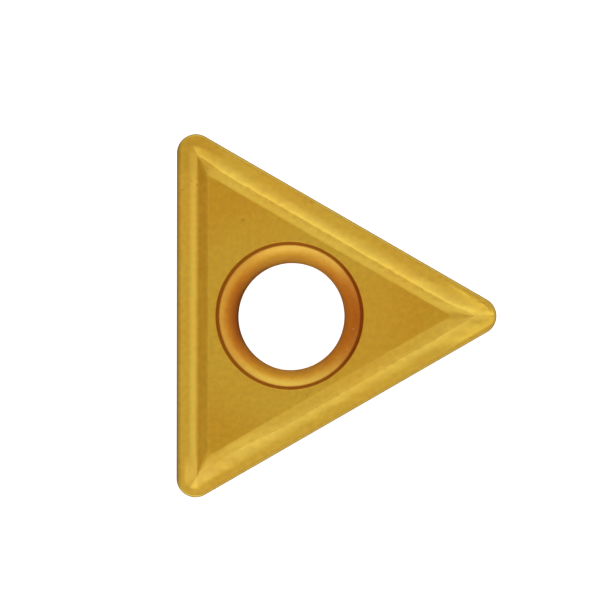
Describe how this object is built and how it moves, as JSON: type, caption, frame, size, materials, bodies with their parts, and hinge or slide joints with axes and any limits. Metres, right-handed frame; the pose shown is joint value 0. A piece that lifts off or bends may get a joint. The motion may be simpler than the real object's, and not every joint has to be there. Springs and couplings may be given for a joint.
{
  "type": "carbide insert",
  "caption": "Triangular screw-down cutting insert, gold coated, with relieved flanks, rounded corners, a chip groove round the top and a trumpet-shaped screw hole.",
  "frame": {"origin": "on the screw hole's axis, at the flat seat that rests in a tool's pocket", "axes": "+Z along the screw hole, from the seat to the cutting face; one cutting corner points along +X, and the flank opposite to it faces -X and runs along Y"},
  "size_m": [0.0135, 0.0154, 0.004],
  "materials": {
    "coated_carbide": "satin gold-coloured titanium-nitride type coating on sintered carbide, with a fine sintered grain"
  },
  "bodies": {
    "root": {"insert": "coated_carbide"}
  },
  "joints": []
}
